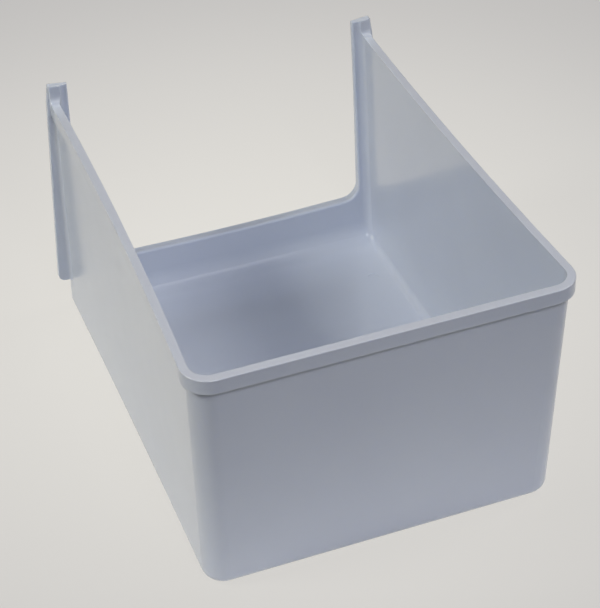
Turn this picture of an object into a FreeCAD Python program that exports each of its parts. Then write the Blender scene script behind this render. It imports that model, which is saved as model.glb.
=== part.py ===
"""One-piece moulded fridge crisper bin: a deep open tray with a turned-down rim along
three sides, and two upright posts beside a low wall with a wide cut-out.

Millimetres, +Z up, origin on the ground under the middle of the bin. The full-height
wall faces -Y, the cut-out wall and its posts stand at +Y.
"""
import FreeCAD
import Part
import math
import os

# Overall sizes
rim_span = 230.0          # across the rim at the two rounded corners
depth = 296.0             # face of the rim to the back of the post tops
rim_height = 161.0        # flat top of the rim above the ground
post_rise = 12.0          # tops of the two posts above the rim

# Walls
wall = 2.3                # side walls and full-height wall
floor_thickness = 2.5
face_draft = 6.9          # foot of the full-height wall stands this far inside its top
side_draft = 4.2          # foot of each side wall stands this far inside its top
waist = 6.4               # the side walls pull in by this much at half length, at the rim
pinch = 7.3               # and by this much at the posts
floor_bow = 0.6           # pull at half length, at the ground
corner_radius = 13.4      # upright corners, outside
foot_radius = 7.7         # rounding under the walls, outside
foot_band = 8.2           # upright lowest part of the walls, which takes that rounding
hollow_radius = 5.0       # rounding inside, along the floor and up the far corners
sweep_radius = 14.0       # rounding inside, from the floor to the cut-out wall

# Rim
rim_overhang = 3.0        # rim beyond the outside of the walls
rim_drop = 9.0            # height of the turned-down skirt
rim_top = 2.4             # thickness of the rim's flat top
skirt_wall = 1.6          # thickness of the skirt
rim_edge = 0.6            # rounding of the rim's outer top edge, right round to the posts

# Cut-out wall and posts
plate = 2.8               # thickness of the cut-out wall and of the post plates
back_lean = 6.0           # foot of the cut-out wall stands this far forward of the post tops
frame_inset = 1.8         # bottom and sides end this far short of the back of the post tops
inner_flange = 7.0        # post plate inside the side wall
outer_flange = 9.0        # post plate outside the side wall, at its lower end
plate_proud = 1.7         # post plate beyond the outside of the rim, where they meet
flange_foot = 27.0        # lower end of the outer flange above the ground
flange_end_radius = 5.0   # rounding of that lower end
flange_fillet = 2.5       # outer flange into the side wall
post_corner = 1.2         # rounding of the outer corner of the post tops, seen from the front
post_fillet = 5.0         # rim top rising into the post
root_step = 1.5           # end of the side wall, in front of the post plate above the rim
top_slope = 1.6           # tops of the posts fall this much from the outside to the cut-out
sill_height = 36.0        # lower edge of the cut-out, at its two ends
sill_sag = 2.0            # dip of that edge at mid width
cutout_radius = 11.0      # lower corners of the cut-out
lip = 2.2                 # thickness of the turned-back lip around the cut-out
cutout_edge = 1.5         # rounding of the cut-out's front edge

# Round moulding marks in the floor
mark_diameter = 7.0
mark_depth = 0.4
mark_from_sides = 16.0    # mark's centre from the inside of a side wall's foot
mark_from_ends = 44.0     # and from the inside of an end wall's foot

spare = 20.0              # how far cutting tools run past what they cut
slack = 0.1               # tolerance when edges are picked by where they lie

face_y = -depth / 2                       # face of the rim
post_back_y = depth / 2                   # back of the post tops
frame_y = post_back_y - frame_inset       # upright plane where sides and bottom end
skirt_foot = rim_height - rim_drop        # lower edge of the rim
post_height = rim_height + post_rise      # tops of the posts above the ground
tool_top = post_height + spare
tool_half = rim_span / 2 + spare


def vec(x, y, z):
    return FreeCAD.Vector(x, y, z)


def mirrored(point):
    return vec(-point.x, point.y, point.z)


def plate_y(z):
    """Front face of the cut-out wall and of the post plates at height z."""
    return post_back_y - plate - back_lean * (1 - z / post_height)


def face_wall_y(z):
    """Outside of the full-height wall at height z."""
    return face_y + rim_overhang + face_draft * (1 - z / rim_height)


def half_widths(z):
    """Outside of a side wall from the middle plane: at the corner, half length and post."""
    rise = z / rim_height
    corner = rim_span / 2 - rim_overhang - side_draft * (1 - rise)
    middle = corner - floor_bow * (1 - rise) - waist * rise
    post = corner - pinch * rise
    return corner, middle, post


def side_circle(z, inset):
    """Circle that the right side wall follows in plan at height z, shrunk by inset."""
    corner, middle, post = (half - inset for half in half_widths(z))
    near_y = face_wall_y(z) + inset
    bow = Part.Arc(vec(corner, near_y, z), vec(middle, (near_y + frame_y) / 2, z),
                   vec(post, frame_y, z))
    return bow.toShape().Curve


def rounded_corner(circle, edge_y, radius):
    """Corner between the line y = edge_y and a side circle: its centre and its two ends."""
    inwards = 1 if edge_y < 0 else -1
    bulge = 1 if circle.Center.x < 0 else -1
    reach = circle.Radius - bulge * radius
    y = edge_y + inwards * radius
    x = circle.Center.x + bulge * math.sqrt(reach ** 2 - (y - circle.Center.y) ** 2)
    centre = vec(x, y, circle.Center.z)
    on_wall = circle.Center + (centre - circle.Center) * (circle.Radius / reach)
    return centre, vec(x, edge_y, circle.Center.z), on_wall


def straight(start, end):
    return Part.LineSegment(start, end).toShape()


def arc_about(centre, start, end):
    """Shorter arc around a centre."""
    radius = (start - centre).Length
    middle = (start - centre) + (end - centre)
    return Part.Arc(start, centre + middle.normalize() * radius, end).toShape()


def plan(z, inset, far_y, far_radius):
    """Closed plan of the walls at height z, shrunk by inset and ending at y = far_y."""
    circle = side_circle(z, inset)
    near_y = face_wall_y(z) + inset
    near, near_line, near_wall = rounded_corner(circle, near_y, corner_radius - inset)
    far, far_line, far_wall = rounded_corner(circle, far_y, far_radius)
    arcs = [(near, near_line, near_wall), (circle.Center, near_wall, far_wall)]
    if far_radius:
        arcs.append((far, far_wall, far_line))
    right = [arc_about(*arc) for arc in arcs]
    left = [arc_about(mirrored(centre), mirrored(end), mirrored(start))
            for centre, start, end in reversed(arcs)]
    return Part.Wire([straight(mirrored(near_line), near_line)] + right
                     + [straight(far_line, mirrored(far_line))] + left)


def outside(z, inset):
    """Plan of the outside, ending at the frame plane."""
    return plan(z, inset, frame_y, 0)


def upright_block(z, inset, z_low, z_high):
    """Straight-sided block on the outside plan of height z."""
    base = outside(z, inset)
    base.translate(vec(0, 0, z_low - z))
    return Part.Face(base).extrude(vec(0, 0, z_high - z_low))


def prism_across(points):
    """Prism along X from a closed outline of (y, z) points."""
    wire = Part.makePolygon([vec(-tool_half, y, z) for y, z in points + points[:1]])
    return Part.Face(wire).extrude(vec(2 * tool_half, 0, 0))


def prism_along(edges):
    """Prism along Y, from the middle past the posts, on edges drawn in the plane y = 0."""
    return Part.Face(Part.Wire(edges)).extrude(vec(0, post_back_y + spare, 0))


def polygon_edges(points):
    """Closed chain of straight edges between (x, z) points of the plane y = 0."""
    corners = [vec(x, 0, z) for x, z in points]
    return [straight(corners[i - 1], corners[i]) for i in range(len(corners))]


def skin(sections, ruled):
    """Faces through plan sections, straight from one to the next or a smooth cubic."""
    return Part.makeLoft(sections, False, ruled, False, 3).Faces


def solid_between(low, skins, high):
    """Solid inside skins that meet edge to edge, closed by a flat face at either end."""
    shell = Part.makeShell([Part.Face(low)] + skins + [Part.Face(high)])
    shell.sewShape()
    return Part.makeSolid(shell)


def outer_body():
    """Block under the rim: drafted walls on an upright, rounded foot."""
    foot = upright_block(foot_band, 0, 0, foot_band)
    ground = [e for e in foot.Edges
              if e.BoundBox.ZMax < slack and e.BoundBox.YMin < frame_y - slack]
    foot = foot.makeFillet(foot_radius, ground)
    low, high = outside(foot_band, 0), outside(rim_height, 0)
    return foot.fuse(solid_between(low, skin([low, high], True), high))


def narrowing(rise, radius):
    """How much a quarter-round of this radius narrows a space at this rise over the floor."""
    return radius - math.sqrt(radius ** 2 - (radius - min(rise, radius)) ** 2)


def inside(z):
    """Plan of the hollow at height z, narrowed by the roundings along the floor."""
    rise = z - floor_thickness
    far_y = plate_y(z) - narrowing(rise, sweep_radius)
    return plan(z, wall + narrowing(rise, hollow_radius), far_y, hollow_radius)


def hollow():
    """Space inside: rounded floor edges, the sweep up to the leaning wall, drafted walls."""
    round_steps, sweep_steps = 4, 3
    quarter = [math.pi / 2 * step / round_steps for step in range(round_steps + 1)]
    round_top = floor_thickness + hollow_radius
    sweep_top = floor_thickness + sweep_radius
    rounding = [inside(round_top - hollow_radius * math.cos(angle)) for angle in quarter]
    sweep = [inside(round_top + (sweep_top - round_top) * step / sweep_steps)
             for step in range(sweep_steps + 1)]
    brim, top = inside(skirt_foot), inside(tool_top)
    skins = skin(rounding, False) + skin(sweep, False)
    skins += skin([sweep[-1], brim], True) + skin([brim, top], True)
    return solid_between(rounding[0], skins, top)


def above_rim():
    """Everything above the rim and in front of the posts, with the post fillet on its edge."""
    reach = face_y - spare
    block = prism_across([
        (reach, rim_height),
        (plate_y(rim_height) - root_step, rim_height),
        (plate_y(tool_top) - root_step, tool_top),
        (reach, tool_top),
    ])
    root = [e for e in block.Edges
            if e.BoundBox.ZMax < rim_height + slack and e.BoundBox.YMin > 0]
    return block.makeFillet(post_fillet, root)


def post_outline(side):
    """Outline of one post plate, seen from the front, as a prism along Y."""
    low_wall = half_widths(flange_foot)[2]
    top_wall = half_widths(post_height)[2]
    rim_end = half_widths(rim_height)[2] + rim_overhang
    points = [
        (low_wall - wall - inner_flange, flange_foot),
        (low_wall + outer_flange, flange_foot),
        (rim_end + plate_proud, rim_height),
        (rim_end, post_height),
        (top_wall - wall - inner_flange, post_height - top_slope),
    ]
    prism = prism_along(polygon_edges([(side * x, z) for x, z in points]))
    lower_end = [e for e in prism.Edges
                 if e.BoundBox.YLength > spare and e.BoundBox.ZMax < flange_foot + slack
                 and abs(e.CenterOfMass.x) > low_wall]
    prism = prism.makeFillet(flange_end_radius, lower_end)
    tops = [e for e in prism.Edges
            if e.BoundBox.YLength > spare and e.BoundBox.ZMin > post_height - slack]
    return prism.makeFillet(post_corner, tops)


def over_posts():
    """Space over the tops of the posts and beside them."""
    low = (rim_height + post_height) / 2
    space = prism_along(polygon_edges([(-tool_half, low), (tool_half, low),
                                       (tool_half, tool_top), (-tool_half, tool_top)]))
    for side in (-1, 1):
        space = space.cut(post_outline(side))
    return space


def rim(body):
    """Flat top with a turned-down skirt, the channel behind it, and the roots of the posts."""
    block = upright_block(rim_height, -rim_overhang, skirt_foot, post_height).cut(above_rim())
    face_edge = [e for e in block.Edges
                 if abs(e.BoundBox.ZMin - rim_height) < slack and e.BoundBox.YMax < face_y + slack]
    block = block.makeFillet(rim_edge, face_edge)
    channel = upright_block(rim_height, skirt_wall - rim_overhang,
                            skirt_foot - spare, rim_height - rim_top)
    return block.cut(over_posts()).cut(channel.cut(body))


def posts():
    """Leaning plates on both sides."""
    leaning = prism_across([
        (plate_y(0), 0),
        (plate_y(0) + plate, 0),
        (plate_y(post_height) + plate, post_height),
        (plate_y(post_height), post_height),
    ])
    return [post_outline(side).common(leaning) for side in (-1, 1)]


def fillet_flanges(solid):
    """Blend the outer flanges of the posts into the side walls."""
    half_way_wall = half_widths((flange_foot + rim_height) / 2)[2]
    corners = []
    for edge in solid.Edges:
        box = edge.BoundBox
        upright = box.ZLength > (rim_height - flange_foot) / 2
        on_wall = abs(abs(edge.CenterOfMass.x) - half_way_wall) < wall / 2
        before_plate = 0 < box.YMin and box.YMax < plate_y(rim_height) + slack
        if upright and on_wall and before_plate:
            corners.append(edge)
    return solid.makeFillet(flange_fillet, corners)


def cutout_half(z):
    """Half width of the cut-out at height z."""
    return half_widths(z)[2] - wall - inner_flange


def cutout(grow):
    """The wide cut-out, grown outwards by the given amount."""
    low, top = (cutout_half(z) + grow for z in (sill_height, tool_top))
    sill = sill_height - grow
    left, right = vec(-low, 0, sill), vec(low, 0, sill)
    top_left, top_right = vec(-top, 0, tool_top), vec(top, 0, tool_top)
    dip = Part.Arc(left, vec(0, 0, sill - sill_sag), right).toShape()
    prism = prism_along([dip, straight(right, top_right), straight(top_right, top_left),
                         straight(top_left, left)])
    lower = [e for e in prism.Edges
             if e.BoundBox.YLength > spare and e.BoundBox.ZMax < sill + slack]
    return prism.makeFillet(cutout_radius + grow, lower)


def back_recess():
    """Space behind the leaning wall, inside the upright frame and outside the lip."""
    low, top = (half_widths(z)[2] - wall for z in (floor_thickness, tool_top))
    frame = prism_along(polygon_edges([(-low, floor_thickness), (low, floor_thickness),
                                       (top, tool_top), (-top, tool_top)]))
    behind = prism_across([
        (plate_y(0) + plate, 0),
        (post_back_y + spare, 0),
        (post_back_y + spare, tool_top),
        (plate_y(tool_top) + plate, tool_top),
    ])
    return frame.common(behind).cut(cutout(lip))


def round_cutout_edge(solid):
    """Round the front edge of the cut-out, along the sill and up both posts."""
    edges = []
    for edge in solid.Edges:
        box = edge.BoundBox
        middle = edge.valueAt((edge.FirstParameter + edge.LastParameter) / 2)
        on_front = abs(middle.y - plate_y(middle.z)) < slack
        on_sill = box.ZMin > sill_height - sill_sag - slack and middle.z < sill_height + cutout_radius
        on_post = abs(abs(middle.x) - cutout_half(middle.z)) < slack
        if on_front and (on_sill or on_post):
            edges.append(edge)
    return solid.makeFillet(cutout_edge, edges)


def floor_marks():
    x = half_widths(floor_thickness)[0] - wall - mark_from_sides
    near_y = face_wall_y(floor_thickness) + wall + mark_from_ends
    far_y = plate_y(floor_thickness) - mark_from_ends
    low = floor_thickness - mark_depth
    return [Part.makeCylinder(mark_diameter / 2, spare, vec(side * x, y, low))
            for side in (-1, 1) for y in (near_y, far_y)]


def drawer_body():
    body = outer_body()
    solid = fillet_flanges(body.multiFuse(posts()).removeSplitter())
    solid = solid.fuse(rim(body))
    for tool in [hollow(), cutout(0), back_recess()] + floor_marks():
        solid = solid.cut(tool)
    return round_cutout_edge(solid.removeSplitter())


os.makedirs("parts", exist_ok=True)
shape = drawer_body()
print("drawer_body", shape.isValid(), len(shape.Solids), "solid", round(shape.Volume / 1000, 1), "cm3")
shape.exportStep("parts/drawer_body.step")
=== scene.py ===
# %% [markdown]
# # A fridge crisper drawer in white plastic
#
# The drawer is one injection moulding: floor, walls, rim and posts are a single skin. The
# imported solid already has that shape, so this lesson doesn't model it again. It keeps the
# solid as the thing that is seen, and spends its care on the plastic, the light and the camera.
# The first step loads the solid and measures it before anything else is in the scene.

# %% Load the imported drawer
import math

import bmesh
import bpy
from mathutils import Matrix, Vector

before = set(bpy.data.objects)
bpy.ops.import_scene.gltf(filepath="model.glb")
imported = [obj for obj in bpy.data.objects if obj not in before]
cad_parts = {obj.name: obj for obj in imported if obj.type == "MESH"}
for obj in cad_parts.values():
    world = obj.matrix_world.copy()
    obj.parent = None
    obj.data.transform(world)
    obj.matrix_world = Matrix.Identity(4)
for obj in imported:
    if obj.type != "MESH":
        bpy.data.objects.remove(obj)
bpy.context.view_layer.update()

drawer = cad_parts["drawer_body"]
print("drawer triangles:", len(drawer.data.polygons))

# %% [markdown]
# ## Helpers for the materials
#
# Both materials in this lesson are built from nodes, and the same few moves come back each
# time: make a node with its values, take a noise, stretch a value to a useful range, combine
# two values, and turn a value into two tones. One small function for each keeps the later
# cells short.

# %% Node helpers
def add_node(tree, kind, **values):
    made = tree.nodes.new(kind)
    for name, value in values.items():
        if name in made.inputs:
            made.inputs[name].default_value = value
        else:
            setattr(made, name, value)
    return made


def noise(tree, coords, scale, detail=3.0, roughness=0.55):
    made = add_node(tree, "ShaderNodeTexNoise", Scale=scale, Detail=detail, Roughness=roughness)
    tree.links.new(coords, made.inputs["Vector"])
    return made.outputs["Fac"]


def spread(tree, value, from_range, to_range, curve="LINEAR"):
    made = add_node(tree, "ShaderNodeMapRange", interpolation_type=curve)
    made.inputs["From Min"].default_value, made.inputs["From Max"].default_value = from_range
    made.inputs["To Min"].default_value, made.inputs["To Max"].default_value = to_range
    tree.links.new(value, made.inputs["Value"])
    return made.outputs["Result"]


def combine(tree, operation, first, second):
    made = add_node(tree, "ShaderNodeMath", operation=operation)
    tree.links.new(first, made.inputs[0])
    tree.links.new(second, made.inputs[1])
    return made.outputs["Value"]


def two_tones(tree, value, low, high):
    made = tree.nodes.new("ShaderNodeValToRGB")
    made.color_ramp.elements[0].color = low
    made.color_ramp.elements[1].color = high
    tree.links.new(value, made.inputs["Fac"])
    return made.outputs["Color"]


print("helpers:", [helper.__name__ for helper in (add_node, noise, spread, combine, two_tones)])

# %% [markdown]
# ## The milk in the plastic
#
# A crisper drawer is usually moulded in polystyrene. This white has a little blue in it, as is
# often added to hide the yellowing of age. The walls are a little over two millimetres thick
# and milky: light enters, scatters under the surface and comes out a little way off, which
# keeps the inner corners light. A plain diffuse white would look like chalk. Subsurface
# scattering does what the plastic does, with a reach of about half the wall's thickness.
#
# The white is not one flat value either. Melt that cools sooner can set a little cloudier, so
# a broad, very faint noise runs between two whites. It reads Object coordinates, which fixes
# the pattern in the moulding.

# %% Colour and milkiness
plastic_white = (0.668, 0.710, 0.802, 1.0)
plastic_cloud = (0.648, 0.690, 0.787, 1.0)
polystyrene_ior = 1.59
reach = 0.0012
cloud_scale = 9.0
cloud_range = (0.35, 0.65)
none_to_all = (0.0, 1.0)

plastic = bpy.data.materials.new("white_plastic_moulded")
plastic.use_nodes = True
tree = plastic.node_tree
shader = tree.nodes["Principled BSDF"]
shader.inputs["IOR"].default_value = polystyrene_ior
shader.inputs["Subsurface Weight"].default_value = 1.0
shader.inputs["Subsurface Radius"].default_value = (1.0, 1.0, 1.0)
shader.inputs["Subsurface Scale"].default_value = reach

coords = tree.nodes.new("ShaderNodeTexCoord").outputs["Object"]
cloud = spread(tree, noise(tree, coords, cloud_scale), cloud_range, none_to_all, "SMOOTHSTEP")
moulded_tone = two_tones(tree, cloud, plastic_cloud, plastic_white)
print("white:", plastic_white[:3], "cloud:", plastic_cloud[:3])

# %% [markdown]
# ## Where the rim's painted shade goes
#
# With one plastic all over, the top of the rim comes out brighter here than in the photograph.
# The light is the cause: the rim's top faces up and the lamps reach it more than the real
# light did. So a greyer tone is painted on it, a painted shade, and it is made a little less
# shiny too. A painted attribute could mark the place. But the rim's top lies at one height all
# the way round, so the Z of the Object coordinates picks it. Along Y the painted shade fades out
# before the rim rises into the posts, which stay white. A noise makes the painted shade patchy.

# %% Where the rim's shade is painted
rim_band = (0.1592, 0.1604)
post_fade = (0.120, 0.138)
all_to_none = (1.0, 0.0)
patch_scale = 35.0
patch_strength = (0.75, 1.0)
noise_range = (0.3, 0.7)

axes = tree.nodes.new("ShaderNodeSeparateXYZ")
tree.links.new(coords, axes.inputs["Vector"])
# Painted shade: this mask picks the rim's top, where a greyer tone stands in for less light.
rim_top = spread(tree, axes.outputs["Z"], rim_band, none_to_all)
clear_of_posts = spread(tree, axes.outputs["Y"], post_fade, all_to_none)
shade_patches = spread(tree, noise(tree, coords, patch_scale), noise_range, patch_strength)
rim_shade_and_dulling = combine(tree, "MULTIPLY", combine(tree, "MULTIPLY", rim_top, clear_of_posts), shade_patches)
# The painted shade on the rim's top lies above this height.
print("handled rim: above", rim_band[1], "m, up to", post_fade[0], "m along Y")

# %% [markdown]
# ## The painted shade's tone
#
# The mask now mixes the moulded white with a greyer tone, a painted shade. The Mix node keeps
# the sockets of all its kinds of data in one list, and several share a name, so the colour ones
# are picked by their place in that list.

# %% Rim's painted shade
# Painted shade: a greyer tone on the rim's top, darker than the white to stand in for less light.
rim_painted_shade = (0.615, 0.637, 0.715, 1.0)
share_in, first_colour_in, second_colour_in = 0, 6, 7
colour_out = 2

plastic_tone = add_node(tree, "ShaderNodeMix", data_type="RGBA")
plastic_tone.inputs[second_colour_in].default_value = rim_painted_shade
tree.links.new(rim_shade_and_dulling, plastic_tone.inputs[share_in])
tree.links.new(moulded_tone, plastic_tone.inputs[first_colour_in])
tree.links.new(plastic_tone.outputs[colour_out], shader.inputs["Base Color"])
print("rim tone:", rim_painted_shade[:3])

# %% [markdown]
# ## The gloss
#
# The surface shines softly but is never a mirror. A mould's steel is polished by hand, so the
# gloss wanders from place to place, and wiping leaves a fine haze in it. An image of smears
# would do, but it needs a UV map and repeats. Here two noises do it, a broad one for the polish
# and a finer one for the haze, and the mask of the rim's painted shade adds its own dulling.
# They are added up into the roughness.

# %% Gloss
polish_scale = 12.0
polish_roughness = (0.155, 0.185)
haze_scale = 60.0
haze_roughness = (0.0, 0.015)
rim_roughness = (0.0, 0.08)

polish = spread(tree, noise(tree, coords, polish_scale), noise_range, polish_roughness)
haze = spread(tree, noise(tree, coords, haze_scale, detail=0.0), noise_range, haze_roughness)
dulling = spread(tree, rim_shade_and_dulling, none_to_all, rim_roughness)
gloss = combine(tree, "ADD", combine(tree, "ADD", polish, haze), dulling)
tree.links.new(gloss, shader.inputs["Roughness"])
print("roughness of the polish:", polish_roughness, "and of the rim on top of it:", rim_roughness)

# %% [markdown]
# ## The shrinkage
#
# The plastic shrinks as it cools, so a wide wall is never quite flat. A faint, broad bump gives
# reflections that slight wander. A real dent would need geometry, this does not.

# %% Shrinkage
ripple_scale = 18.0
ripple_strength = 0.02
ripple_height = 0.0002

ripple = noise(tree, coords, ripple_scale, detail=1.0)
bump = add_node(tree, "ShaderNodeBump", Strength=ripple_strength, Distance=ripple_height)
tree.links.new(ripple, bump.inputs["Height"])
tree.links.new(bump.outputs["Normal"], shader.inputs["Normal"])

drawer.data.materials.clear()
drawer.data.materials.append(plastic)
print("plastic nodes:", len(tree.nodes))

# %% [markdown]
# ## The camera
#
# The photograph looks down into the drawer over its full-height wall, from a good metre away
# with a long lens. The lens and the place come from matching the drawer's straight edges to
# the picture, so they are plain numbers here: the three angles are in radians, the place in
# metres.

# %% Camera
image_height = 608
focal_pixels = 1994.379
sensor = 36.0
heading = 0.3463
look_down = 0.663
roll = -0.0296
camera_place = (-0.323485, -0.900929, 0.822002)

forward = Vector((math.sin(heading) * math.cos(look_down),
                  math.cos(heading) * math.cos(look_down),
                  -math.sin(look_down)))
level_right = forward.cross(Vector((0, 0, 1))).normalized()
level_up = level_right.cross(forward)
right = level_right * math.cos(roll) + level_up * math.sin(roll)
up = level_up * math.cos(roll) - level_right * math.sin(roll)

camera_data = bpy.data.cameras.new("camera")
camera_data.sensor_fit = "VERTICAL"
camera_data.sensor_height = sensor
camera_data.lens = focal_pixels * sensor / image_height
camera = bpy.data.objects.new("camera", camera_data)
bpy.context.scene.collection.objects.link(camera)
turn = Matrix((right, up, -forward)).transposed().to_4x4()
camera.matrix_world = Matrix.Translation(camera_place) @ turn
bpy.context.scene.camera = camera
print("lens:", round(camera_data.lens, 2), "mm")

# %% [markdown]
# ## The floor
#
# The drawer stands on a plain pale sheet. It is brightest around the drawer's far end and fades
# a little towards the corners of the picture, and there is hardly a shadow on it. A diffuse
# floor alone would come out darker than that, and brighter lamps would bleach the plastic.
# So what the camera and the gloss see is mostly a steady pale tone. The rest is the lit sheet
# itself, which keeps the shadow where the drawer meets it.
#
# For the light that bounces off it, the sheet is pale near the drawer and ends in a dark table
# further out. That bounce lights the walls from below. The floor's own origin is the bright
# spot, so one distance drives both fades.

# %% Floor
bright_spot = (0.01, 0.10, 0.0)
floor_half_width = 6.0

floor_mesh = bpy.data.meshes.new("floor")
sheet = bmesh.new()
bmesh.ops.create_grid(sheet, x_segments=1, y_segments=1, size=floor_half_width)
sheet.to_mesh(floor_mesh)
sheet.free()
floor = bpy.data.objects.new("floor", floor_mesh)
floor.location = bright_spot
bpy.context.scene.collection.objects.link(floor)
print("floor:", tuple(floor.dimensions))

# %% [markdown]
# ## The floor's paper
#
# Two tones are needed, both by the distance from the bright spot: the steady one that is seen,
# and the matt one that light bounces off. A smooth step between two colours gives each of them
# without an edge that would show.

# %% The paper's two tones
spot_tone = (0.771, 0.752, 0.708, 1.0)
far_tone = (0.568, 0.556, 0.545, 1.0)
tone_fade = (0.0, 0.52)
sheet_white = (0.97, 0.96, 0.95, 1.0)
table_dark = (0.05, 0.05, 0.05, 1.0)
sheet_edge = (0.27, 0.57)

paper = bpy.data.materials.new("pale_sheet")
paper.use_nodes = True
leaf = paper.node_tree
leaf.nodes.clear()
away = add_node(leaf, "ShaderNodeVectorMath", operation="LENGTH")
leaf.links.new(leaf.nodes.new("ShaderNodeTexCoord").outputs["Object"], away.inputs[0])
fade = spread(leaf, away.outputs["Value"], tone_fade, none_to_all, "SMOOTHSTEP")
edge = spread(leaf, away.outputs["Value"], sheet_edge, none_to_all, "SMOOTHSTEP")

steady = leaf.nodes.new("ShaderNodeEmission")
leaf.links.new(two_tones(leaf, fade, spot_tone, far_tone), steady.inputs["Color"])
matt = leaf.nodes.new("ShaderNodeBsdfDiffuse")
leaf.links.new(two_tones(leaf, edge, sheet_white, table_dark), matt.inputs["Color"])
print("steady tone fades over", tone_fade[1], "m, the sheet ends by", sheet_edge[1], "m")

# %% [markdown]
# ## Which rays see the steady tone
#
# The Light Path node tells the rays of the camera and of the gloss, and the ones through clear
# things, from the rays that carry light around. Where it says so, the paper is mostly the
# steady tone. Everywhere else it is plain matt paper.

# %% Paper
steady_share = (0.0, 0.92)

rays = leaf.nodes.new("ShaderNodeLightPath")
camera_or_gloss = combine(leaf, "MAXIMUM", rays.outputs["Is Camera Ray"], rays.outputs["Is Glossy Ray"])
seen = combine(leaf, "MAXIMUM", camera_or_gloss, rays.outputs["Is Transmission Ray"])

either = leaf.nodes.new("ShaderNodeMixShader")
leaf.links.new(spread(leaf, seen, none_to_all, steady_share), either.inputs["Fac"])
leaf.links.new(matt.outputs["BSDF"], either.inputs[1])
leaf.links.new(steady.outputs["Emission"], either.inputs[2])
surface = leaf.nodes.new("ShaderNodeOutputMaterial")
leaf.links.new(either.outputs["Shader"], surface.inputs["Surface"])
floor_mesh.materials.append(paper)
print("paper nodes:", len(leaf.nodes))

# %% [markdown]
# ## The light
#
# In the photograph the middle of the drawer's floor is darker than its left and right edges.
# Light from overhead would do the opposite. Two lamps do it, one on each side and 45 to 50
# degrees up: each one clears the side wall next to it and reaches only the far part of the
# floor. A third, in front, lights the full-height wall and the inside of the low one, and a
# broad weak one fills in between. A last lamp, low behind the drawer, keeps the low wall's back
# from going dark in other views. All of them aim at the middle of the drawer.

# %% Lamps
drawer_middle = Vector((0, 0, 0.08))


def soft_lamp(name, place, size, colour, watts):
    lamp_data = bpy.data.lights.new(name, "AREA")
    lamp_data.size = size
    lamp_data.color = colour
    lamp_data.energy = watts
    lamp = bpy.data.objects.new(name, lamp_data)
    lamp.location = place
    lamp.rotation_euler = (drawer_middle - Vector(place)).to_track_quat("-Z", "Y").to_euler()
    lamp.visible_camera = False
    bpy.context.scene.collection.objects.link(lamp)


soft_lamp("left_lamp", (-1.33, 0.09, 1.37), size=0.4, colour=(1.0, 0.99, 0.89), watts=14.8)
soft_lamp("right_lamp", (1.19, 0.0, 1.50), size=0.4, colour=(1.0, 0.98, 0.92), watts=7.5)
soft_lamp("front_lamp", (-0.12, -1.18, 1.50), size=0.4, colour=(0.91, 0.93, 1.0), watts=8.4)
soft_lamp("back_lamp", (0.25, 1.60, 0.35), size=1.0, colour=(1.0, 1.0, 1.0), watts=4.0)
soft_lamp("fill_lamp", (0.79, -1.05, 1.39), size=1.0, colour=(0.95, 0.95, 1.0), watts=4.2)

# %% [markdown]
# ## The surround
#
# A bright surround would reach every corner of the drawer alike and flatten it. So it stays
# dim, and the shading comes from the lamps.

# %% Surround
surround_grey = (0.036, 0.036, 0.036, 1.0)

world = bpy.data.worlds.new("studio")
bpy.context.scene.world = world
world.use_nodes = True
surround = world.node_tree.nodes["Background"]
surround.inputs["Color"].default_value = surround_grey
surround.inputs["Strength"].default_value = 1.0
print("surround:", surround_grey[:3])

# %% [markdown]
# ## The picture
#
# The Standard view shows colours as they are written. The drawer's own mesh is never touched.

# %% Picture settings
bpy.context.scene.view_settings.view_transform = "Standard"
